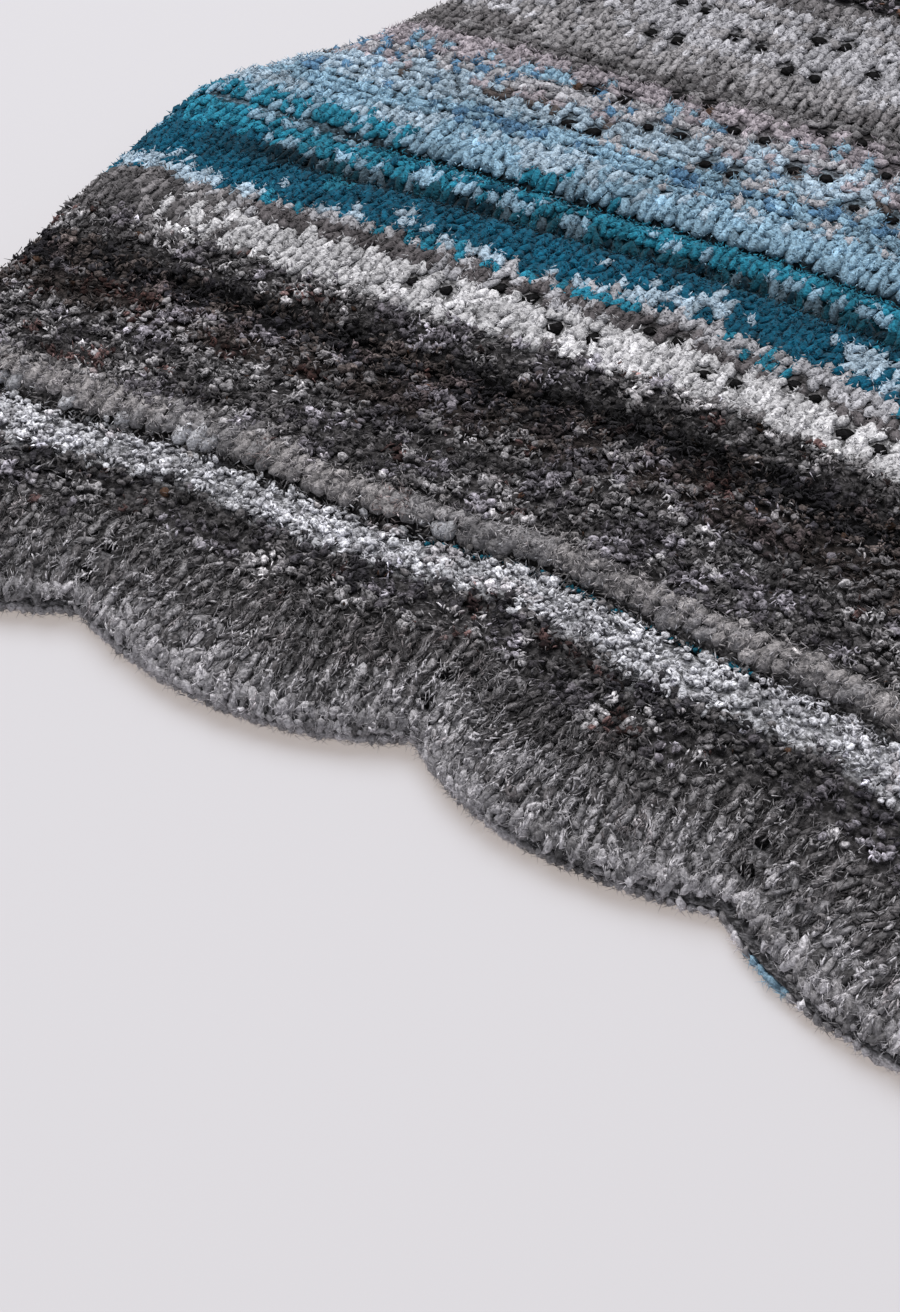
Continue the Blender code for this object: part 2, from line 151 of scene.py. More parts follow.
YARNS = {
    "fog": (0.275, 0.266, 0.277),
    "pewter": (0.42, 0.408, 0.43),
    "ash": (0.15, 0.142, 0.148),
    "coal": (0.036, 0.034, 0.039),
    "ice": (0.6, 0.605, 0.645),
    "umber": (0.092, 0.076, 0.073),
    "rust": (0.075, 0.042, 0.028),
    "felt": (0.35, 0.332, 0.337),
    "chalk": (0.58, 0.575, 0.595),
    "taupe": (0.12, 0.109, 0.115),
    "teal": (0.003, 0.08, 0.14),
    "sea": (0.02, 0.2, 0.3),
    "mist": (0.41, 0.408, 0.437),
    "rose": (0.35, 0.315, 0.345),
    "frost": (0.36, 0.46, 0.55),
    "denim": (0.1, 0.21, 0.34),
    "sky": (0.25, 0.395, 0.51),
}

# How far the second colour strays out of its patches, in pebbled stripes and in the others
PEBBLE_MIX = 0.42
YARN_MIX = 0.2

# How widely stitches' shades spread on the front and elsewhere, their limit, how strongly large patches
# differ, how many stitches are rust, and the shades where the white stripe thins out
STITCH_SPREAD = 0.13
PLAIN_SPREAD = 0.25
LIGHTEST_STITCH = 2.4
PATCH_SPREAD = 0.25
RUST_SHARE = 0.004
FADED_SHADES = (0.3, 1.3)

# How each form of yarn is laid: sizes in mm, lean and turn in degrees, the tufts of each stitch, their size
# and how much painted light brightens them
Form = namedtuple("Form", "length width height lean turn tufts tuft tuft_width tuft_light")
FORMS = {
    "fan": Form(5.5, 2.2, 1.6, 0, 22, 3, 2.0, 0.18, 1.0),
    "cord": Form(6.4, 3.3, 2.0, 15, 10, 7, 1.25, 0.45, 1.0),
    "roll": Form(6.2, 4.3, 1.8, 26, 14, 3, 1.5, 0.2, 1.0),
    "pebble": Form(4.6, 3.4, 2.2, 16, 45, 7, 1.5, 0.4, 1.0),
    "inside": Form(4.6, 2.6, 2.2, 0, 10, 0, 1.0, 0.3, 1.0),
    "hem": Form(4.8, 2.5, 2.2, 0, 26, 14, 2.0, 0.15, 1.2),
    "edge": Form(5.0, 2.8, 2.4, 0, 12, 3, 1.1, 0.3, 1.4),
    "band": Form(5.0, 2.7, 2.0, 0, 10, 4, 1.3, 0.35, 1.0),
}

# How light the cloth under each form is, as a share of its stripe's main colour: painted shade between
# stitches
UNDERLAY_SHADES = {"curl": 0.6, "fleece": 1.0, "fan": 0.6, "cord": 0.5, "roll": 0.6, "pebble": 0.45}
BAND_UNDERLAY_SHADE = 0.7

# The photo's part of the vest gets the densest yarn: it ends at a slanted line on the right and at a height,
# and beyond them this share of the tufts is left
CLOSE_RIGHT = 100 * MM
CLOSE_SLOPE = -0.5
CLOSE_TOP = 306 * MM
FAR_TUFTS = 0.12

# Yarn below this height is pressed together by the table, and none goes through it
PRESSED = 1.5 * MM

# Yarn strewn over the stripes of one form: its shape, how many square mm of cloth each piece of it takes in
# the close part and elsewhere, how much larger it is there, its size across, along and out in mm, how far its
# turn and its tip stray in degrees, the heights it lies at in mm, how light the painted shade leaves its
# deepest pieces, how much their shades spread, how strongly clumps of colour stand out, and how lumpy it lies
Layer = namedtuple(
    "Layer", "form shape close far far_size size turn tip lowest highest deepest spread clumps lumps"
)
LAYERS = [
    Layer("curl", "lump", 4.8, 20, 1.5, (2.3, 2.7, 1.4), 180, 20, 0.0, 0.6, 0.45, 0.2, 1.0, 1.0),
    Layer("curl", "petal", 2.9, 19, 1.9, (0.52, 2.0, 0.47), 180, 40, 0.5, 1.7, 0.5, 0.32, 1.0, 1.0),
    Layer("curl", "curl", 10, 90, 1.5, (0.75, 0.75, 0.75), 180, 40, 0.6, 1.8, 0.8, 0.3, 1.0, 1.0),
    Layer("curl", "fibre", 6, 60, 2.0, (0.28, 2.2, 0.28), 180, 30, 0.9, 2.1, 0.9, 0.3, 1.0, 1.0),
    Layer("fleece", "lump", 3.4, 16, 1.5, (2.1, 2.5, 1.5), 180, 20, 0.0, 1.2, 0.7, 0.1, 0.1, 0.6),
    Layer("fleece", "petal", 3.4, 15, 1.9, (0.5, 1.9, 0.45), 180, 40, 0.6, 1.6, 0.9, 0.12, 0.1, 0.4),
    Layer("fleece", "curl", 10, 60, 1.4, (0.85, 0.85, 0.85), 180, 30, 0.7, 1.8, 0.95, 0.12, 0.1, 0.4),
    Layer("fleece", "fibre", 7, 60, 2.0, (0.28, 2.2, 0.28), 180, 30, 0.9, 2.0, 0.9, 0.12, 0.1, 0.4),
    Layer("fan", "petal", 1.5, 14, 1.8, (0.48, 2.4, 0.42), 25, 18, 0.2, 1.1, 0.65, 0.2, 0.1, 0.7),
    Layer("fan", "curl", 14, 90, 1.4, (0.75, 0.75, 0.75), 180, 30, 0.3, 1.3, 0.7, 0.2, 0.1, 0.7),
    Layer("fan", "fibre", 1.3, 24, 2.0, (0.25, 2.5, 0.25), 35, 18, 0.6, 1.6, 0.7, 0.25, 0.1, 0.7),
    Layer("roll", "petal", 0.95, 12, 1.7, (0.32, 1.7, 0.32), 75, 30, 0.9, 2.1, 0.65, 0.25, 0.3, 0.3),
    Layer("roll", "fibre", 1.2, 20, 2.0, (0.26, 2.0, 0.26), 90, 25, 1.2, 2.3, 0.8, 0.25, 0.3, 0.3),
]

# How far strewn yarn strays past its stripe, and how its size ranges
LAYER_STRAY = 1.2 * MM
PIECE_SIZES = (0.65, 1.3)

# How much painted light and shade lumps and fan ribs put on the yarn and how they lift it in mm, how far the
# ribs wander, and how light yarn may be
LUMP_SHADE = 0.55
LUMP_RISE = 1.5
RIB_SHADE = 0.72
RIB_RISE = 1.0
RIB_WANDER = 2.0
LIGHTEST = 1.2

# Colours of bouclé: how strongly its clumps differ, the bright ones among them, and tinges for the others
CLUMP_CONTRAST = 0.9
BRIGHT_CLUMPS = 0.78
BRIGHT_RANGE = 0.2
BRIGHTEST = 1.3
BROWN_OVER = 0.94
PLUM_UNDER = 0.3
BROWN = (0.48, 0.31, 0.29)
PLUM = (0.97, 0.95, 1.03)

# Lace holes come in pairs that swap sides from row to row, and singly between the scallops at the hem;
# rows in mm on the cut
HOLE_REPEAT = 8 * WALE
HOLE_APART = 8.6 * MM
HOLE_START = -79 * MM
HOLE_RADIUS = 2.15 * MM
HOLE_REACH_UP = 0.62
HOLE_PUSH = 5.5 * MM
HOLE_PUSH_BY = 1.6 * MM
HOLE_ROWS = [126.5, 134.5, 209.5, 219, 228.5, 238.5, 262.5, 271.5, 281, 400, 410]
HOLE_LEFT = -125 * MM
HOLE_RIGHT = 140 * MM
HOLE_STRAY = 0.6 * MM
HEM_HOLES = [5, 13]

# Where the white stripe thins out into the dark bouclé, towards the left side
FADED = (117 * MM, 138.5 * MM)
FADED_FROM = -170 * MM
FADED_OVER = 28 * MM
FADED_SHARE = 0.85

# Where the back panel's edge shows light blue under the hem
BACK_PEEK = 62 * MM
BACK_PEEK_WIDTH = 6 * MM

# From where to where the inner layer shows in the deepest crease
GLIMPSES = (-75 * MM, 22 * MM)

# The heights that the front's pieces reach over, in mm, and the grids of the cords: form, wale and course
FAN_STITCHES = (-1, 28)
FAN_WEB = (-10, 28)
BOUCLE_STRETCHES = ((20, 56), (55, 84), (84, 122), (296, 455))
CORD_STRETCHES = ((49, 164), (164, 240), (240, 455))
CORD_GRIDS = (("cord", WALE / 2, COURSE), ("pebble", WALE / 2, COURSE), ("roll", WALE * 0.75, 2.2 * MM))

# Yarn along the edges and the neckband's ribs: steps, and heights and rows in mm
HEM_STEP = 2.2 * MM
SIDE_STEP = 3.6 * MM
FRONT_EDGE_HEIGHTS = (5.4, 7.6)
BACK_EDGE_HEIGHTS = (2.4,)
BAND_STEP = 2.5 * MM
BAND_ROWS = (2.5, 6.5, 10.5)

# Noise scales of the fibres, blotches, loops and threads in the materials
FIBRE_SCALE = 1400
BLOTCH_SCALE = 110
LOOP_SCALE = 750
THREAD_SCALE = 1500
BUMP_DISTANCE = 0.6 * MM


def read_table(v, heights, values):
    return np.interp(v / MM, heights, values)


def half_width(v):
    return HALF_HEM - read_table(v, SIDE_HEIGHTS, SIDE_INSETS) * MM


def drop(u, v):
    wave = np.abs(np.sin(np.pi * (u + HALF_HEM) / SCALLOP)) ** SCALLOP_ROUNDNESS
    return SCALLOP_DROP * wave * read_table(v, WAVE_HEIGHTS, WAVE_SHARES)


def lay(u, v):
    """Where a point of the cut lies on the table."""
    aside = u - BEND_AT
    reach = np.hypot(aside, BEND_RADIUS)
    x = u + FANNING * BEND_FALL * aside / reach * (v - FANNING_FROM)
    return x, v - BEND_FALL * (reach - BEND_RADIUS) - FOOTPRINT_MIDDLE


def unlay(x, y):
    """The point of the cut that lies at a place on the table."""
    rounds = 12
    u, v = x.copy(), y + FOOTPRINT_MIDDLE
    for _ in range(rounds):
        at_x, at_y = lay(u, v)
        u = u + x - at_x
        v = v + y - at_y
    return u, v


def drift(u, v):
    """How far a course wanders up the cloth with the folds beside it."""
    total = np.zeros(len(u))
    for fold in FOLDS:
        share = np.interp(v / MM, fold.heights, (0, 1, 1, 0))
        total += share * fold.wander * MM * np.sin(2 * np.pi * fold.waves * u / FOLD_SPAN + fold.turn)
    return total


def ease(share):
    share = np.clip(share, 0, 1)
    return share * share * (3 - 2 * share)


def crease_shade(u, v):
    """Painted shade: 1 on the open cloth, and less towards the bottoms of the creases, where little light
    comes.
    """
    shade = np.ones(len(u))
    for fold in FOLDS:
        strength = ease((u / MM - fold.left + SHADE_LEAD) / fold.fade)
        strength = strength * ease((fold.right - u / MM) / fold.fade)
        shade *= 1 - fold.dark * strength * np.exp(-(((v / MM - fold.bottom) / fold.width) ** 2))
    return shade


def place(u, v):
    """Where a stitch lies, whose v is counted along its wale from the scalloped hem."""
    share = np.clip(v / RIB_REACH, 0, 1) * np.clip((2 * RIB_REACH - v) / RIB_REACH, 0, 1)
    lean = SCALLOP * RIB_GATHER / (2 * np.pi) * np.sin(2 * np.pi * (u + HALF_HEM) / SCALLOP)
    return lay(u + lean * share, v - drop(u, v) + drift(u, v))


def unit(vectors):
    return vectors / np.maximum(np.linalg.norm(vectors, axis=-1, keepdims=True), TINY)


def surface_of(obj):
    return BVHTree.FromPolygons([v.co for v in obj.data.vertices], [p.vertices for p in obj.data.polygons])


class Spots:
    """Places on the cloth: which of the places asked for each is, where it lies, its point and its axes."""

    def __init__(self, number, u, v, point, out, up):
        self.number, self.u, self.v, self.point, self.out = number, u, v, point, out
        self.up = unit(up - (up * out).sum(1, keepdims=True) * out)
        self.across = np.cross(self.up, self.out)

    def part(self, chosen):
        every = (self.number, self.u, self.v, self.point, self.out, self.up)
        return Spots(*(values[chosen] for values in every))

    def axes(self, turn, tip=0.0, roll=0.0):
        """Own axes turned about out, then tipped up, then rolled about up; angles in radians."""
        turn, tip, roll = (np.broadcast_to(a, len(self.up))[:, None] for a in (turn, tip, roll))
        turned = self.up * np.cos(turn) + self.across * np.sin(turn)
        side = self.across * np.cos(turn) - self.up * np.sin(turn)
        tipped = turned * np.cos(tip) + self.out * np.sin(tip)
        top = self.out * np.cos(tip) - turned * np.sin(tip)
        rolled_side = side * np.cos(roll) + top * np.sin(roll)
        rolled_top = top * np.cos(roll) - side * np.sin(roll)
        return np.stack([rolled_side, tipped, rolled_top], 2)


def cast(tree, u, v, starts, directions, up):
    """Spots where rays meet the cloth, without those whose rays miss it."""
    points = np.zeros((len(starts), 3))
    normals = np.zeros((len(starts), 3))
    for i in range(len(starts)):
        point, normal, _, _ = tree.ray_cast(Vector(starts[i]), Vector(directions[i]))
        if point:
            points[i] = point
            normals[i] = normal
    found = np.abs(normals).sum(1) > 0
    return Spots(np.arange(len(u)), u, v, points, normals, up).part(found)


def spots_on(tree, u, v, aim_u=0, aim_v=1):
    """Spots straight below places of the cut, whose up axis aims in one direction of the cut."""
    above, step = 0.1, 0.5 * MM
    x, y = place(u, v)
    ahead_x, ahead_y = place(u + aim_u * step, v + aim_v * step)
    starts = np.stack([x, y, np.full(len(u), above)], 1)
    ahead = np.stack([ahead_x - x, ahead_y - y, np.zeros(len(u))], 1)
    return cast(tree, u, v, starts, np.tile([0.0, 0.0, -1.0], (len(u), 1)), ahead)


def spots_beside(tree, u, v, height, upright):
    """Spots on the cloth's edge at one height; the places run along it, with the cloth on their left."""
    aside = 15 * MM
    x, y = place(u, v)
    along = unit(np.stack([np.gradient(x), np.gradient(y), np.zeros(len(u))], 1))
    away = np.cross(along, [0.0, 0.0, 1.0])
    starts = np.stack([x, y, np.full(len(u), height)], 1) + away * aside
    up = np.tile([0.0, 0.0, 1.0], (len(u), 1)) if upright else along
    return cast(tree, u, v, starts, -away, up)


def tube(path, radii, sides, ends):
    """A closed tube of triangles along a path; ends adds a tip beyond each end."""
    steep = 0.9
    path = np.asarray(path, float)
    along = unit(np.gradient(path, axis=0))
    helper = np.where(np.abs(along[:, 2:]) > steep, [[1.0, 0, 0]], [[0, 0, 1.0]])
    first = unit(np.cross(along, helper))
    second = np.cross(along, first)
    turn = np.arange(sides) * 2 * np.pi / sides
    ring = first[:, None] * np.cos(turn)[:, None] + second[:, None] * np.sin(turn)[:, None]
    points = (path[:, None] + ring * np.asarray(radii)[:, None, None]).reshape(-1, 3)
    faces = []
    for i in range(len(path) - 1):
        for j in range(sides):
            a, b = i * sides + j, i * sides + (j + 1) % sides
            faces += [(a, a + sides, b), (b, a + sides, b + sides)]
    last = len(points) - sides
    tips = [path[0] - along[0] * ends, path[-1] + along[-1] * ends]
    points = np.vstack([points, tips])
    for j in range(sides):
        k = (j + 1) % sides
        faces += [(len(points) - 2, j, k), (len(points) - 1, last + k, last + j)]
    return points, np.array(faces)


def stitch_shapes(count, sides, heights, radii):
    """Plump lumpy capsules along the up axis, 1 long and 1 thick."""
    shapes = []
    sway, dents, ends = 0.05, 0.06, 0.17
    for _ in range(count):
        path = [(rng.normal(0, sway), y, 0) for y in heights]
        points, faces = tube(path, radii, sides, ends)
        points[:-2] += rng.normal(0, dents, points[:-2].shape) * (1, 0.6, 1)
        shapes.append((points, faces))
    return shapes


def curl_shapes(count):
    """Open loops of yarn with a radius of 1, lying in the plane of across and up."""
    shapes = []
    radii = [0.36, 0.52, 0.57, 0.52, 0.36]
    stations = len(radii)
    for _ in range(count):
        turn = np.linspace(0, math.radians(rng.uniform(230, 340)), stations)
        rise = np.linspace(-1, 1, stations) * rng.uniform(0.15, 0.5)
        wide = 1 + rng.normal(0, 0.12, stations)
        path = np.stack([np.cos(turn) * wide, np.sin(turn) * wide * rng.uniform(0.6, 1), rise], 1)
        shapes.append(tube(path, radii, 3, 0.2))
    return shapes


def lump_shapes(count):
    """Uneven round lumps, 1 across: an icosahedron with its corners pushed in and out."""
    golden = (1 + math.sqrt(5)) / 2
    longest_side = 0.6
    corners = []
    for near in (-1, 1):
        for far in (-golden, golden):
            corners += [(0, near, far), (near, far, 0), (far, 0, near)]
    corners = np.array(corners) / (2 * math.hypot(1, golden))
    faces = []
    for face in combinations(range(len(corners)), 3):
        a, b, c = corners[list(face)]
        if max(np.linalg.norm(a - b), np.linalg.norm(b - c), np.linalg.norm(c - a)) < longest_side:
            faces.append(face if np.dot(np.cross(b - a, c - a), a) > 0 else face[::-1])
    faces = np.array(faces)
    return [(corners * rng.uniform(0.7, 1.2, (len(corners), 1)), faces) for _ in range(count)]


def petal_shapes(count):
    """Bent spindles along the up axis, 1 long and 1 wide, their tips turned down."""
    shapes = []
    sway, half_length = 0.08, 0.2
    for _ in range(count):
        bend = rng.uniform(0.1, 0.35)
        path = [(rng.normal(0, sway), y, 0) for y in (-half_length, half_length)]
        points, faces = tube(path, (0.5, 0.5), 3, 0.3)
        points[-2:] += (bend * rng.choice([-1, 1]), 0, -rng.uniform(0.1, 0.5))
        shapes.append((points, faces))
    return shapes


def tuft_shapes():
    """A tuft of fibres along the up axis, 1 long and 1 wide, as a thin pyramid."""
    corners = [(-0.5, 0, -0.3), (0.5, 0, -0.3), (0, 0, 0.5), (0.25, 1, 0.15)]
    faces = [(0, 2, 1), (0, 1, 3), (1, 2, 3), (2, 0, 3)]
    return [(np.array(corners), np.array(faces))]


def lens_shapes(count, sides):
    """Uneven flat lenses with a radius of about 1, facing out."""
    turn = np.arange(sides) * 2 * np.pi / sides
    faces = []
    for i in range(sides):
        j = (i + 1) % sides
        faces += [(i, j, sides), (j, i, sides + 1)]
    shapes = []
    for _ in range(count):
        reach = rng.uniform(0.7, 1.15, sides)
        rim = np.stack([np.cos(turn) * reach, np.sin(turn) * reach, np.zeros(sides)], 1)
        shapes.append((np.vstack([rim, [(0, 0, 0.5), (0, 0, -0.5)]]), np.array(faces)))
    return shapes


def add_object(name, data):
    obj = bpy.data.objects.new(name, data)
    bpy.context.scene.collection.objects.link(obj)
    return obj


class Yarn:
    """Copies of small closed shapes, joined into one mesh with a colour at each point."""

    def __init__(self):
        self.points, self.faces, self.tints = [], [], []
        self.count = 0

    def add(self, shapes, points, axes, size, tints):
        """size is (n, 3): across, up and out."""
        which = rng.integers(len(shapes), size=len(points))
        for number, (corners, faces) in enumerate(shapes):
            chosen = which == number
            frames = axes[chosen] * size[chosen][:, None, :]
            placed = points[chosen][:, None, :] + np.einsum("nij,mj->nmi", frames, corners)
            starts = self.count + np.arange(chosen.sum()) * len(corners)
            self.points.append(placed.reshape(-1, 3))
            self.faces.append((faces[None] + starts[:, None, None]).reshape(-1, 3))
            self.tints.append(np.repeat(tints[chosen], len(corners), 0))
            self.count += placed.shape[0] * placed.shape[1]

    def build(self, name, look, slot):
        points = np.concatenate(self.points)
        faces = np.concatenate(self.faces)
        pressed = PRESSED * np.exp(np.minimum(points[:, 2] / PRESSED, 1) - 1)
        points[:, 2] = np.maximum(points[:, 2], pressed)
        mesh = bpy.data.meshes.new(name)
        mesh.vertices.add(len(points))
        mesh.vertices.foreach_set("co", points.astype(np.float32).ravel())
        mesh.loops.add(faces.size)
        mesh.loops.foreach_set("vertex_index", faces.astype(np.int32).ravel())
        mesh.polygons.add(len(faces))
        mesh.polygons.foreach_set("loop_start", np.arange(len(faces), dtype=np.int32) * 3)
        mesh.update(calc_edges=True)
        mesh.shade_smooth()
        set_tint(mesh, np.concatenate(self.tints))
        set_bake_map(mesh)
        mesh.materials.append(LOOKS[look])
        obj = add_object(name, mesh)
        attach(obj, "root")
        return obj


def set_tint(mesh, tints):
    layer = mesh.attributes.new("tint", "FLOAT_COLOR", "POINT")
    colours = np.ones((len(tints), 4), np.float32)
    colours[:, :3] = tints
    layer.data.foreach_set("color", colours.ravel())


def points_of(mesh):
    points = np.empty(len(mesh.vertices) * 3, np.float32)
    mesh.vertices.foreach_get("co", points)
    return points.reshape(-1, 3)


def set_bake_map(mesh):
    """Flat coordinates from above, so that neighbouring yarn shares neighbouring parts of an image."""
    span = 0.52
    layer = mesh.uv_layers.new(name="OFBake")
    corners = np.empty(len(mesh.loops), np.int32)
    mesh.loops.foreach_get("vertex_index", corners)
    flat = points_of(mesh)[corners, :2] / span + 0.5
    layer.data.foreach_set("uv", flat.ravel())


def stripe_rows(v):
    """The stripe that each height on the cut falls in."""
    starts = np.array([stripe.start for stripe in STRIPES]) * MM
    return np.clip(np.searchsorted(starts, v, side="right") - 1, 0, len(STRIPES) - 1)


def yarn_height(u, v):
    """The yarn changes colour part way along a course, so its stripes climb a course from side to side."""
    course = np.floor(v / COURSE)
    along = (u + HALF_HEM) / (2 * HALF_HEM)
    climb = np.where(course % 2 == 0, along, 1 - along)
    return (course + climb) * COURSE


class Patches:
    """Smooth uneven values from 0 to 1 over the cut, in patches of one size."""

    SIZE = (61, 173)
    CONTRAST = 1.5

    def __init__(self, across, up):
        self.across = across
        self.up = up
        self.values = rng.random(self.SIZE)

    def mixed(self, i, j, right):
        """Between the values of two neighbouring columns of a row."""
        wide, tall = self.SIZE
        return self.values[i % wide, j % tall] * (1 - right) + self.values[(i + 1) % wide, j % tall] * right

    def at(self, u, v):
        column = (u + HALF_HEM) / self.across
        row = v / self.up
        i = np.floor(column).astype(int)
        j = np.floor(row).astype(int)
        right = ease(column - i)
        above = ease(row - j)
        value = self.mixed(i, j, right) * (1 - above) + self.mixed(i, j + 1, right) * above
        return np.clip(0.5 + self.CONTRAST * (value - 0.5), 0, 1)


def yarn_tints(u, v, spread, darkest=0.3, patches=None):
    """A colour for each stitch: its stripe's main yarn or fleck, each a little lighter or darker."""
    rows = stripe_rows(v)
    main = np.array([YARNS[stripe.main] for stripe in STRIPES])[rows]
    fleck = np.array([YARNS[stripe.fleck] for stripe in STRIPES])[rows]
    share = np.array([stripe.share for stripe in STRIPES])[rows]
    mixed = np.where(in_form(v, "pebble"), PEBBLE_MIX, YARN_MIX)
    patch = (patches or RUNS).at(u, v) + mixed * rng.normal(0, 1, len(u))
    tints = np.where((patch > 1 - share)[:, None], fleck, main)
    faded_tints = np.array(YARNS["ash"]) * rng.uniform(*FADED_SHADES, (len(u), 1))
    tints = np.where(is_faded(u, v)[:, None], faded_tints, tints)
    odd = (rng.random(len(u)) < RUST_SHARE) & in_form(v, "curl", "pebble")
    tints = np.where(odd[:, None], YARNS["rust"], tints)
    shade = np.exp(rng.normal(0, spread, len(u)) + PATCH_SPREAD * (SHADES.at(u, v) - 0.5))
    return tints * np.clip(shade, darkest, LIGHTEST_STITCH)[:, None]


def is_faded(u, v):
    """Where the white stripe thins out towards the side; a few of its stitches stay white."""
    low, high = FADED
    share = FADED_SHARE * (FADED_FROM - u) / FADED_OVER
    return (v > low) & (v < high) & (rng.random(len(u)) < share)


def in_form(v, *forms):
    rows = stripe_rows(v)
    return np.isin(np.array([stripe.form for stripe in STRIPES])[rows], forms)


def is_close(u, v):
    return (u < CLOSE_RIGHT + CLOSE_SLOPE * v) & (v < CLOSE_TOP)


def hole_centres():
    """The middles of the lace holes on the cut."""
    holes = []
    pairs = int(2 * HALF_HEM / HOLE_REPEAT) + 1
    for number, row in enumerate(HOLE_ROWS):
        start = HOLE_START + (number % 2) * HOLE_REPEAT / 2
        for pair in range(-pairs, pairs):
            for side in (-0.5, 0.5):
                holes.append((start + pair * HOLE_REPEAT + side * HOLE_APART, row * MM))
    holes = [hole for hole in holes if HOLE_LEFT < hole[0] < HOLE_RIGHT]
    for number in range(SCALLOPS + 1):
        holes += [(number * SCALLOP - HALF_HEM, row * MM) for row in HEM_HOLES]
    return np.array(holes) + rng.normal(0, HOLE_STRAY, (len(holes), 2))


def part_round_holes(u, v, others):
    """Stitches beside a hole move aside, and those in it are dropped, with their other values."""
    gap_u = u[:, None] - HOLES[None, :, 0]
    gap_v = v[:, None] - HOLES[None, :, 1]
    far = np.hypot(gap_u, gap_v * HOLE_REACH_UP)
    pick = np.arange(len(u))
    near = np.argmin(far, 1)
    reach = np.maximum(far[pick, near], TINY)
    push = np.clip(1 - reach / HOLE_PUSH, 0, 1) * HOLE_PUSH_BY / reach
    kept = reach > HOLE_RADIUS
    return (u + gap_u[pick, near] * push)[kept], (v + gap_v[pick, near] * push)[kept], others[kept]


class Nodes:
    """Adds shader nodes to a material's tree, each fed from the sockets before it."""

    def __init__(self, material):
        material.use_nodes = True
        self.tree = material.node_tree
        self.shader = self.tree.nodes["Principled BSDF"]
        self.where = self.tree.nodes.new("ShaderNodeTexCoord").outputs["Object"]

    def put(self, kind, inputs, output, **settings):
        node = self.tree.nodes.new(kind)
        for name, value in settings.items():
            setattr(node, name, value)
        for name, value in inputs.items():
            if isinstance(value, bpy.types.NodeSocket):
                self.tree.links.new(value, node.inputs[name])
            else:
                node.inputs[name].default_value = value
        return node.outputs[output]

    def noise(self, scale, detail):
        inputs = {"Vector": self.where, "Scale": scale, "Detail": detail}
        return self.put("ShaderNodeTexNoise", inputs, "Fac")

    def ranged(self, value, low, high, start=0.3, end=0.7):
        inputs = {"Value": value, "From Min": start, "From Max": end, "To Min": low, "To Max": high}
        return self.put("ShaderNodeMapRange", inputs, "Result")

    def times(self, first, second):
        return self.put("ShaderNodeMath", {0: first, 1: second}, "Value", operation="MULTIPLY")

    def finish(self, shade, height, bump):
        tint = self.put("ShaderNodeAttribute", {}, "Color", attribute_name="tint")
        inputs = {0: tint, "Scale": shade}
        colour = self.put("ShaderNodeVectorMath", inputs, "Vector", operation="SCALE")
        inputs = {"Height": height, "Strength": bump, "Distance": BUMP_DISTANCE}
        normal = self.put("ShaderNodeBump", inputs, "Normal")
        self.tree.links.new(colour, self.shader.inputs["Base Color"])
        self.tree.links.new(normal, self.shader.inputs["Normal"])


def set_inputs(node, values):
    for name, value in values.items():
        node.inputs[name].default_value = value


def knit_material(name, contrast, bump, sheen):
    """Fibrous yarn in the colour of its stitch."""
    material = bpy.data.materials.new(name)
    nodes = Nodes(material)
    set_inputs(nodes.shader, {"Roughness": 0.95, "Specular IOR Level": 0.08})
    set_inputs(nodes.shader, {"Sheen Weight": sheen, "Sheen Roughness": 0.6})
    fibre = nodes.noise(FIBRE_SCALE, 3)
    fine = nodes.ranged(fibre, 1 - contrast, 1 + contrast * 0.7)
    blotches = nodes.ranged(nodes.noise(BLOTCH_SCALE, 2), 0.8, 1.15)
    nodes.finish(nodes.times(fine, blotches), fibre, bump)
    return material


def cloth_material(name):
    """The depth between the stitches: dim loops over the painted shade that its tint holds."""
    material = bpy.data.materials.new(name)
    nodes = Nodes(material)
    set_inputs(nodes.shader, {"Roughness": 0.95, "Specular IOR Level": 0.1})
    patches = nodes.ranged(nodes.noise(LOOP_SCALE, 3), 0, 1, 0.38, 0.62)
    loops = nodes.times(patches, nodes.noise(THREAD_SCALE, 2))
    nodes.finish(nodes.ranged(loops, 0.15, 1.6, 0, 1), loops, 0.9)
    return material


def make_shell(node, name, slot, levels):
    """A smooth thin copy of a CAD piece, darkened with painted shade for the depth between the stitches and
    in the creases.
    """
    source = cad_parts[node]
    shell = add_object(name, source.data.copy())
    bpy.context.view_layer.objects.active = shell
    weld = shell.modifiers.new("weld", "WELD")
    weld.merge_threshold = 0.00001
    if levels:
        smooth = shell.modifiers.new("smooth", "SUBSURF")
        smooth.levels = levels
        smooth.render_levels = levels
    graph = bpy.context.evaluated_depsgraph_get()
    mesh = bpy.data.meshes.new_from_object(shell.evaluated_get(graph))
    shell.modifiers.clear()
    shell.data = mesh
    mesh.name = name
    mesh.materials.clear()
    mesh.materials.append(LOOKS["cloth"])
    mesh.shade_smooth()
    points = points_of(mesh).astype(float)
    u, v = unlay(points[:, 0], points[:, 1])
    v = v + drop(u, v)
    rows = stripe_rows(v - drift(u, v))
    if slot == "band_knit":
        tints = np.tile(np.array(YARNS["fog"]) * BAND_UNDERLAY_SHADE, (len(u), 1))
    else:
        shades = [np.array(YARNS[stripe.main]) * UNDERLAY_SHADES[stripe.form] for stripe in STRIPES]
        tints = np.array(shades)[rows] * crease_shade(u, v)[:, None]
    set_tint(mesh, tints)
    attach(shell, "root")
    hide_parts(node)
    return shell


def grid(wale, course, low, high):
    """Stitch centres over the whole cut, wale by wale."""
    across = np.arange(-HALF_HEM + wale / 2, HALF_HEM, wale)
    up = np.arange(low + course / 2, high, course)
    u, v = np.meshgrid(across, up)
    return u.ravel(), v.ravel()


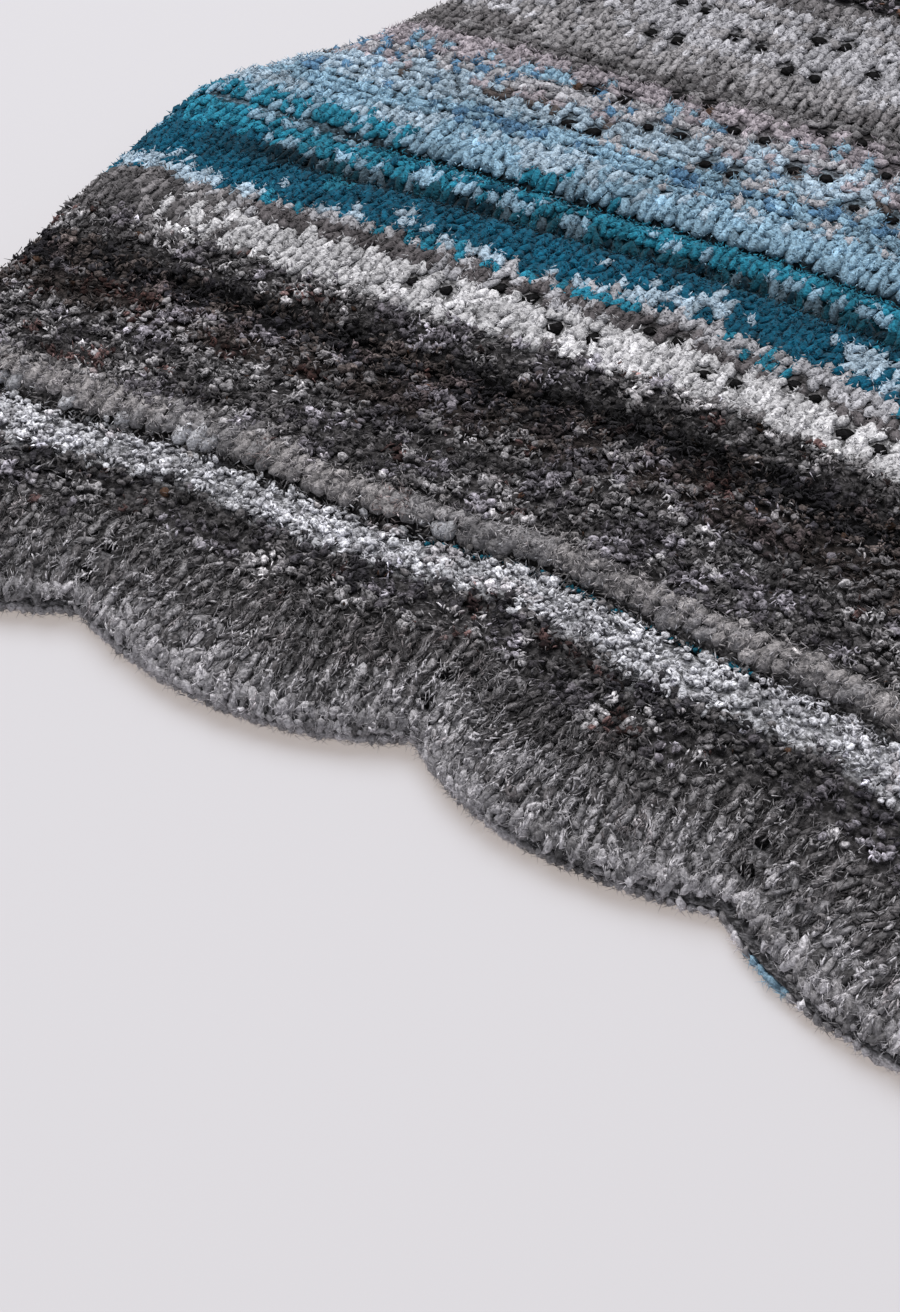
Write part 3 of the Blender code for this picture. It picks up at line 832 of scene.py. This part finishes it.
def add_stitches(yarn, fluff, spots, form, lean, tints):
    """Lays one stitch at each spot, leaning to its side, with its tufts."""
    tip_stray, size_spread, rise = 7, 0.12, 0.25
    shape = FORMS[form]
    count = len(spots.u)
    turn = np.radians(lean * shape.lean + rng.normal(0, shape.turn, count))
    tip = np.radians(rng.normal(0, tip_stray, count))
    scale = np.exp(rng.normal(0, size_spread, (count, 3)))
    size = np.array([shape.width, shape.length, shape.height]) * MM * scale
    axes = spots.axes(turn, tip)
    points = spots.point + spots.out * rise * shape.height * MM
    close = is_close(spots.u, spots.v)
    for chosen, shapes in ((close, STITCHES), (~close, PLAIN_STITCHES)):
        yarn.add(shapes, points[chosen], axes[chosen], size[chosen], tints[chosen])
    tufts = np.where(close, shape.tufts, rng.binomial(shape.tufts, FAR_TUFTS, count))
    if tufts.sum():
        add_tufts(fluff, points, axes, size, tints, tufts, shape)


def add_tufts(fluff, points, axes, size, tints, tufts, shape):
    """Tufts of fibres standing out of stitches."""
    lift, spread, nudge = 0.02, 0.16, 0.01
    root_along, root_depth = 0.48, 0.38
    lean_away, lean_up, lean_aside = 0.45, 0.9, 0.7
    lengths, widths = (0.7, 1.4), (0.7, 1.3)
    count = tufts.sum()
    points, axes, size, tints = (np.repeat(a, tufts, 0) for a in (points, axes, size, tints))
    # Painted light: tufts on the hem and edge are drawn lighter than their stitches
    tints = tints * shape.tuft_light * np.exp(rng.normal(lift, spread, (count, 1)))
    turn = rng.uniform(-np.pi, np.pi, count)
    along = rng.uniform(-root_along, root_along, count)
    side, up, out = axes[:, :, 0], axes[:, :, 1], axes[:, :, 2]
    away = side * np.sin(turn)[:, None] + out * np.abs(np.cos(turn))[:, None]
    root = points + away * (size[:, :1] * root_depth) + up * (along * size[:, 1])[:, None]
    lean = away * lean_away + up * rng.normal(0, lean_up, (count, 1))
    lean = unit(lean + side * rng.normal(0, lean_aside, (count, 1)))
    cross = unit(np.cross(lean, up + nudge))
    frames = np.stack([cross, lean, np.cross(cross, lean)], 2)
    reach = shape.tuft * MM * rng.uniform(*lengths, (count, 1))
    wide = shape.tuft_width * MM * rng.uniform(*widths, (count, 1))
    fluff.add(TUFTS, root, frames, np.hstack([wide, reach, wide]), tints)


def front_stitches(tree, yarn, fluff, form, wale, course, low, high):
    """Stitches of one form over one stretch of the front, off the lace holes and the crease bottoms."""
    stray_across, stray_up, overhang = 0.3 * MM, 0.4 * MM, 1 * MM
    u, v = grid(wale, course, low * MM, high * MM)
    even = np.floor((u + HALF_HEM) / wale) % 2 == 0
    side = np.where(even | (form == "roll"), 1.0, -1.0)
    chosen = in_form(yarn_height(u, v), form) & (np.abs(u) < half_width(v) + overhang)
    for fold in FOLDS:
        if fold.dark > BARE_DARKNESS:
            chosen &= np.abs(v / MM - fold.bottom) > BARE_CREASE
    u, v, side = u[chosen], v[chosen], side[chosen]
    u = u + rng.normal(0, stray_across, len(u))
    v = v + rng.normal(0, stray_up, len(u))
    if len(u):
        u, v, side = part_round_holes(u, v, side)
        spots = spots_on(tree, u, v)
        tints = yarn_tints(spots.u, yarn_height(spots.u, spots.v), STITCH_SPREAD)
        # Painted shade in the creases, and on the fan painted light on the ribs and painted shade between
        # them
        tints = tints * crease_shade(spots.u, spots.v)[:, None]
        if form == "fan":
            tints = tints * np.minimum(1 + RIB_SHADE * rib_at(spots.u, spots.v)[:, None], LIGHTEST)
        add_stitches(yarn, fluff, spots, form, side[spots.number], tints)


def rib_at(u, v):
    """1 on top of a fan's rib and -1 between two ribs."""
    wander = RIB_WANDER * (SHADES.at(u, v) - 0.5)
    return np.cos(2 * np.pi * FAN_RIBS * (u + HALF_HEM) / SCALLOP + wander)


def strew(tree, low, high, layer):
    """Spots at random over the stripes of a layer's form, and how much larger the yarn is at each."""
    every = []
    for close, area in ((True, layer.close), (False, layer.far)):
        count = int((high - low) * 2 * HALF_HEM / MM / area)
        u = rng.uniform(-HALF_HEM, HALF_HEM, count)
        v = rng.uniform(low, high, count) * MM
        chosen = in_form(v + rng.normal(0, LAYER_STRAY, count), layer.form)
        if layer.form == "curl":
            chosen |= is_faded(u, v)
        chosen &= (np.abs(u) < half_width(v)) & (is_close(u, v) == close)
        if chosen.any():
            every.append((spots_on(tree, u[chosen], v[chosen]), 1.0 if close else layer.far_size))
    return every


def boucle_tints(spots, layer):
    """The stripe's colours in clumps, the dark ones tinged with brown or plum and a few much lighter."""
    stray, hue_stray, darkest = 1.4 * MM, 0.08, 0.12
    count = len(spots.u)
    strayed = spots.v + rng.normal(0, stray, count)
    tints = yarn_tints(spots.u, strayed, layer.spread, darkest, CLUMPS)
    bright = layer.clumps * ease((PALES.at(spots.u, spots.v)[:, None] - BRIGHT_CLUMPS) / BRIGHT_RANGE)
    hue = HUES.at(spots.u, spots.v)[:, None] + rng.normal(0, hue_stray, (count, 1))
    tinge = np.where(hue > BROWN_OVER, BROWN, np.where(hue < PLUM_UNDER, PLUM, 1.0))
    tints = tints * tinge ** (layer.clumps * (1 - bright))
    clump = CLUMPS.at(spots.u, spots.v)[:, None] - 0.5
    tints = tints * np.exp(CLUMP_CONTRAST * layer.clumps * clump)
    return tints * (1 + (BRIGHTEST - 1) * bright)


def add_pieces(yarn, layer, spots, scale):
    """One layer's pieces of yarn at the spots, with painted shade: darker the deeper they lie and in creases,
    and lighter and darker with lumps and fan ribs.
    """
    count = len(spots.u)
    turn = np.radians(rng.normal(0, layer.turn, count))
    axes = spots.axes(turn, *np.radians(rng.normal(0, layer.tip, (2, count))))
    rise = rng.uniform(0, 1, (count, 1))
    light = layer.deepest + (LIGHTEST - layer.deepest) * rise
    light = crease_shade(spots.u, spots.v)[:, None] * light
    height = layer.lowest + rise * (layer.highest - layer.lowest)
    lump = LUMPS.at(spots.u, spots.v)[:, None]
    light = light * (1 + LUMP_SHADE * layer.lumps * (2 * lump - 1))
    height = height + LUMP_RISE * layer.lumps * lump
    if layer.form == "fan":
        rib = rib_at(spots.u, spots.v)[:, None]
        light = light * (1 + RIB_SHADE * rib)
        height = height + RIB_RISE * rib
    light = np.minimum(light, LIGHTEST)
    points = spots.point + spots.out * height * MM
    sizes = np.array(layer.size) * MM * scale * rng.uniform(*PIECE_SIZES, (count, 1))
    shapes = {"petal": PETALS, "curl": CURLS, "lump": LUMP_SHAPES, "fibre": TUFTS}[layer.shape]
    yarn.add(shapes, points, axes, sizes, boucle_tints(spots, layer) * light)


def strew_yarn(tree, yarn, low, high, form):
    """Every layer of yarn over the stripes of one form."""
    for layer in LAYERS:
        if layer.form == form:
            for spots, scale in strew(tree, low, high, layer):
                add_pieces(yarn, layer, spots, scale)


def build_both(yarn, fluff, name, slot):
    """The stitches and their tufts as two pieces."""
    return [yarn.build(name, "cord", slot), fluff.build(name + "_tufts", "fluff", slot)]


def build_boucle(tree, name, low, high):
    """Curled and fleecy yarn over one stretch of the front."""
    yarn = Yarn()
    for form in ("curl", "fleece"):
        strew_yarn(tree, yarn, low, high, form)
    return [yarn.build(name, "curl", "striped_knit")]


def build_cords(tree, name, low, high):
    """Chenille stitches and their tufts over one stretch of the front."""
    yarn, fluff = Yarn(), Yarn()
    for form, wale, course in CORD_GRIDS:
        front_stitches(tree, yarn, fluff, form, wale, course, low, high)
    strew_yarn(tree, fluff, low, high, "roll")
    return build_both(yarn, fluff, name, "striped_knit")


def build_fan(tree):
    """Strands that gather to the middle of each scallop, under a web of finer ones."""
    yarn, fluff = Yarn(), Yarn()
    front_stitches(tree, yarn, fluff, "fan", SCALLOP / FAN_STRANDS, COURSE, *FAN_STITCHES)
    strands = Yarn()
    strew_yarn(tree, strands, *FAN_WEB, "fan")
    pieces = [yarn.build("front_fan", "fan", "striped_knit")]
    pieces.append(strands.build("front_fan_strands", "curl", "striped_knit"))
    pieces.append(fluff.build("front_fan_tufts", "fluff", "striped_knit"))
    return pieces


def build_eyelets(tree):
    """Painted shade in each lace hole: a dark lens under the stitches that part round it."""
    lens, sizes, rise, shade = (2.2, 2.4, 0.7), (0.75, 1.1), 0.25 * MM, 0.25
    holes = Yarn()
    spots = spots_on(tree, HOLES[:, 0], HOLES[:, 1])
    count = len(spots.u)
    size = np.array(lens) * MM * rng.uniform(*sizes, (count, 1))
    tints = np.tile(np.array(YARNS["coal"]) * shade, (count, 1))
    holes.add(LENSES, spots.point + spots.out * rise, spots.axes(0.0), size, tints)
    return [holes.build("front_eyelet_shade", "cloth", "striped_knit")]


def build_glimpses(tree):
    """Teal loops of the inner layer that show in the deepest crease."""
    step, kept, below, stray, rise = 1.3 * MM, 0.85, -0.8 * MM, 0.4 * MM, 1.3 * MM
    loop, sizes, shades = (1.3, 2.6, 1.3), (0.7, 1.2), (0.4, 1.1)
    yarn = Yarn()
    u = np.arange(*GLIMPSES, step)
    u = u[rng.random(len(u)) < kept]
    strayed = rng.normal(below, stray, len(u))
    spots = spots_on(tree, u, FOLDS[0].bottom * MM + strayed)
    count = len(spots.u)
    tints = np.array(YARNS["sea"]) * rng.uniform(*shades, (count, 1))
    axes = spots.axes(rng.uniform(-np.pi, np.pi, count))
    size = np.array(loop) * MM * rng.uniform(*sizes, (count, 1))
    yarn.add(PETALS, spots.point + spots.out * rise, axes, size, tints)
    return [yarn.build("front_glimpses", "curl", "striped_knit")]


def build_front(tree):
    """All yarn on the front panel but its edge, as joined pieces."""
    pieces = build_fan(tree) + build_eyelets(tree) + build_glimpses(tree)
    for number, (low, high) in enumerate(BOUCLE_STRETCHES):
        pieces += build_boucle(tree, f"front_boucle_{number}", low, high)
    for number, (low, high) in enumerate(CORD_STRETCHES):
        pieces += build_cords(tree, f"front_cords_{number}", low, high)
    return pieces


def evenly(u, v, step):
    """Places an even step apart along a line over the cut."""
    x, y = place(u, v)
    along = np.concatenate([[0], np.cumsum(np.hypot(np.diff(x), np.diff(y)))])
    at = np.arange(step / 2, along[-1], step)
    return np.interp(at, along, u), np.interp(at, along, v)


def outline_runs():
    """The vest's outer edge as lines over the cut, with the cloth on their left, and the hem first."""
    across = np.linspace(-HALF_HEM, HALF_HEM, 600)
    rise = np.linspace(0, SHOULDER_TIP, 200)
    tip = half_width(np.array([SHOULDER_TIP]))[0]
    slope = np.linspace(0, 1, 30)
    shoulder_u = tip + (NECK_HALF_WIDTH - tip) * slope
    shoulder_v = SHOULDER_TIP + (NECK_POINT - SHOULDER_TIP) * slope
    return [
        (across, np.zeros_like(across)),
        (half_width(rise), rise),
        (shoulder_u, shoulder_v),
        (-shoulder_u[::-1], shoulder_v[::-1]),
        (-half_width(rise[::-1]), rise[::-1]),
    ]


def build_edge(tree, name, heights, slot):
    """Yarn round a panel's outer edge: strands that turn over the hem, and courses that wrap the sides."""
    yarn, fluff = Yarn(), Yarn()
    for number, (line_u, line_v) in enumerate(outline_runs()):
        is_hem = number == 0
        for height in heights:
            u, v = evenly(line_u, line_v, HEM_STEP if is_hem else SIDE_STEP)
            spots = spots_beside(tree, u, v, height * MM, is_hem)
            tints = yarn_tints(spots.u, spots.v, PLAIN_SPREAD)
            if is_hem and slot == "back_knit":
                peeks = np.abs(spots.u - BACK_PEEK) < BACK_PEEK_WIDTH
                tints = np.where(peeks[:, None], YARNS["sky"], tints)
            side = np.zeros(len(spots.u))
            add_stitches(yarn, fluff, spots, "hem" if is_hem else "edge", side, tints)
    return build_both(yarn, fluff, name, slot)


def build_inside(tree):
    """The back panel's inner side, where the neck opening shows it."""
    top, overhang, shade = 0.4, 2 * MM, 0.8
    yarn = Yarn()
    low = NECK_POINT - FRONT_NECK_DEPTH
    u, v = grid(WALE / 2, COURSE, low, NECK_POINT - BACK_NECK_DEPTH * top)
    below = np.clip((NECK_POINT - v) / FRONT_NECK_DEPTH, 0, 1)
    neck_half = NECK_HALF_WIDTH * (1 - below**2) ** (1 / NECK_ROUNDNESS)
    chosen = np.abs(u) < neck_half + overhang
    spots = spots_on(tree, u[chosen], v[chosen])
    # Painted shade: the inner side is drawn darker than its stripes
    tints = yarn_tints(spots.u, spots.v, PLAIN_SPREAD) * shade
    add_stitches(yarn, None, spots, "inside", np.zeros(len(spots.u)), tints)
    return [yarn.build("back_inside", "cord", "back_knit")]


def build_band(tree, name, depth):
    """Ribs across one half of the neckband."""
    yarn, fluff = Yarn(), Yarn()
    turn = np.linspace(np.pi, 0, 400)
    line_u = NECK_HALF_WIDTH * np.sign(np.cos(turn)) * np.abs(np.cos(turn)) ** (2 / NECK_ROUNDNESS)
    line_u, line_v = evenly(line_u, NECK_POINT - depth * np.sin(turn), BAND_STEP)
    along = unit(np.stack([np.gradient(line_u), np.gradient(line_v)], 1))
    for row in BAND_ROWS:
        u = line_u - along[:, 1] * row * MM
        v = line_v + along[:, 0] * row * MM
        spots = spots_on(tree, u, v, -along[:, 1], along[:, 0])
        shade = np.exp(rng.normal(0, PLAIN_SPREAD, (len(spots.u), 1)))
        tints = np.array(YARNS["fog"]) * shade
        add_stitches(yarn, fluff, spots, "band", np.zeros(len(spots.u)), tints)
    return build_both(yarn, fluff, name, "band_knit")


def build_stage():
    """The pale paper that the vest lies on."""
    bpy.ops.mesh.primitive_plane_add(size=40)
    floor = bpy.context.object
    floor.name = "floor"
    material = bpy.data.materials.new("paper")
    material.use_nodes = True
    shader = material.node_tree.nodes["Principled BSDF"]
    set_inputs(shader, {"Base Color": (0.233, 0.257, 0.301, 1), "Roughness": 0.8})
    set_inputs(shader, {"Emission Color": (1.0, 0.87, 0.79, 1), "Emission Strength": 0.38})
    floor.data.materials.append(material)


def build_lights():
    """An even room and one large soft window overhead."""
    world = bpy.data.worlds.new("room")
    world.use_nodes = True
    set_inputs(world.node_tree.nodes["Background"], {"Color": (0.95, 0.96, 1.0, 1), "Strength": 0.5})
    bpy.context.scene.world = world
    lamp = bpy.data.lights.new("window", "AREA")
    lamp.shape = "SQUARE"
    lamp.size = 2.6
    lamp.energy = 128
    lamp.color = (1.0, 0.985, 0.97)
    window = add_object("window", lamp)
    away = Vector((-0.35, 0.3, 1.0)).normalized()
    distance = 3.1
    window.location = away * distance
    window.rotation_euler = away.to_track_quat("Z", "Y").to_euler()
    bpy.context.scene.view_settings.view_transform = "Standard"


def build_camera():
    camera = bpy.data.cameras.new("camera")
    camera.sensor_width = SENSOR
    camera.lens = SENSOR * FOCAL_PIXELS / PHOTO_HEIGHT
    camera.clip_start = 0.01
    obj = add_object("camera", camera)
    obj.location = CAMERA_PLACE
    obj.rotation_euler = (math.pi / 2 - CAMERA_ELEVATION, 0, CAMERA_AZIMUTH)
    bpy.context.scene.camera = obj


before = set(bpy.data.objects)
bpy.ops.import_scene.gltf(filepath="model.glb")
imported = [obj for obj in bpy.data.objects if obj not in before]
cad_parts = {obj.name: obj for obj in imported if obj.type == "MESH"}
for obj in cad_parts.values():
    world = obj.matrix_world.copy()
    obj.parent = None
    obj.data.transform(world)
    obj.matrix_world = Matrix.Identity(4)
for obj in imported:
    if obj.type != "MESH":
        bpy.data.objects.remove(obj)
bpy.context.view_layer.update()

# The lace holes, the shapes of yarn, and the patches in which colours and lumps come
HOLES = hole_centres()
STITCHES = stitch_shapes(14, 4, (-0.3, 0.02, 0.32), (0.42, 0.5, 0.38))
PLAIN_STITCHES = stitch_shapes(8, 3, (-0.25, 0.25), (0.5, 0.5))
CURLS = curl_shapes(20)
PETALS = petal_shapes(12)
LUMP_SHAPES = lump_shapes(12)
TUFTS = tuft_shapes()
LENSES = lens_shapes(9, 8)
RUNS = Patches(22 * MM, COURSE)
CLUMPS = Patches(6.5 * MM, 5 * MM)
SHADES = Patches(26 * MM, 17 * MM)
HUES = Patches(9 * MM, 7 * MM)
PALES = Patches(8 * MM, 6 * MM)
LUMPS = Patches(2.4 * MM, 2.2 * MM)

build_camera()
build_lights()
build_stage()
LOOKS = {
    "cord": knit_material("chenille", contrast=0.52, bump=0.9, sheen=0.05),
    "fan": knit_material("fan_wool", contrast=0.6, bump=0.8, sheen=0.04),
    "curl": knit_material("boucle", contrast=0.8, bump=1.0, sheen=0.03),
    "fluff": knit_material("fluff", contrast=0.3, bump=0.3, sheen=0.05),
    "cloth": cloth_material("cloth"),
}
front_cloth = make_shell("front_panel", "front_cloth", "striped_knit", 1)
back_cloth = make_shell("back_panel", "back_cloth", "back_knit", 0)
band_front = make_shell("neckband_front", "band_front_cloth", "band_knit", 1)
band_back = make_shell("neckband_back", "band_back_cloth", "band_knit", 1)
front_tree = surface_of(front_cloth)
back_tree = surface_of(back_cloth)
front_yarn = build_front(front_tree)
front_yarn += build_edge(front_tree, "front_edge", FRONT_EDGE_HEIGHTS, "striped_knit")
back_yarn = build_inside(back_tree)
back_yarn += build_edge(back_tree, "back_edge", BACK_EDGE_HEIGHTS, "back_knit")
front_ribs = build_band(surface_of(band_front), "band_front_ribs", FRONT_NECK_DEPTH)
back_ribs = build_band(surface_of(band_back), "band_back_ribs", BACK_NECK_DEPTH)
